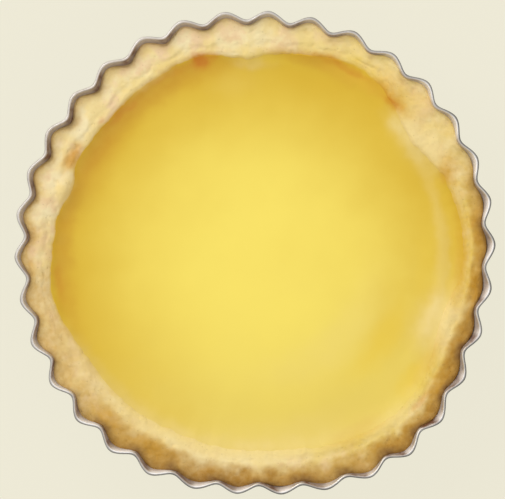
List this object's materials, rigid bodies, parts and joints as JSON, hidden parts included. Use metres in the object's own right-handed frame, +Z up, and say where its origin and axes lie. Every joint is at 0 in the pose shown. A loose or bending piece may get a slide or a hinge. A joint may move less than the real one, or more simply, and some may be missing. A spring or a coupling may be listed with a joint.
{
  "type": "egg tart",
  "caption": "Egg tart in its own fluted metal tin: a pale, uneven short crust rim round a smooth, slightly dished yellow custard.",
  "frame": {"origin": "centre of the tin's underside, on the surface it stands on", "axes": "+Z up through the middle of the tart, +X to the right and +Y away as it is seen from above"},
  "size_m": [0.08, 0.0804, 0.021],
  "materials": {
    "tinplate": "thin pressed tinplate, dulled and lightly scratched, with baked-on brown spots",
    "crust": "matt baked short crust, pale and mottled on top, browner at its outer slope",
    "custard": "satin set custard, bright yellow in the middle and golden at its edge"
  },
  "bodies": {
    "root": {"tin": "tinplate", "crust": "crust", "custard": "custard"}
  },
  "joints": []
}
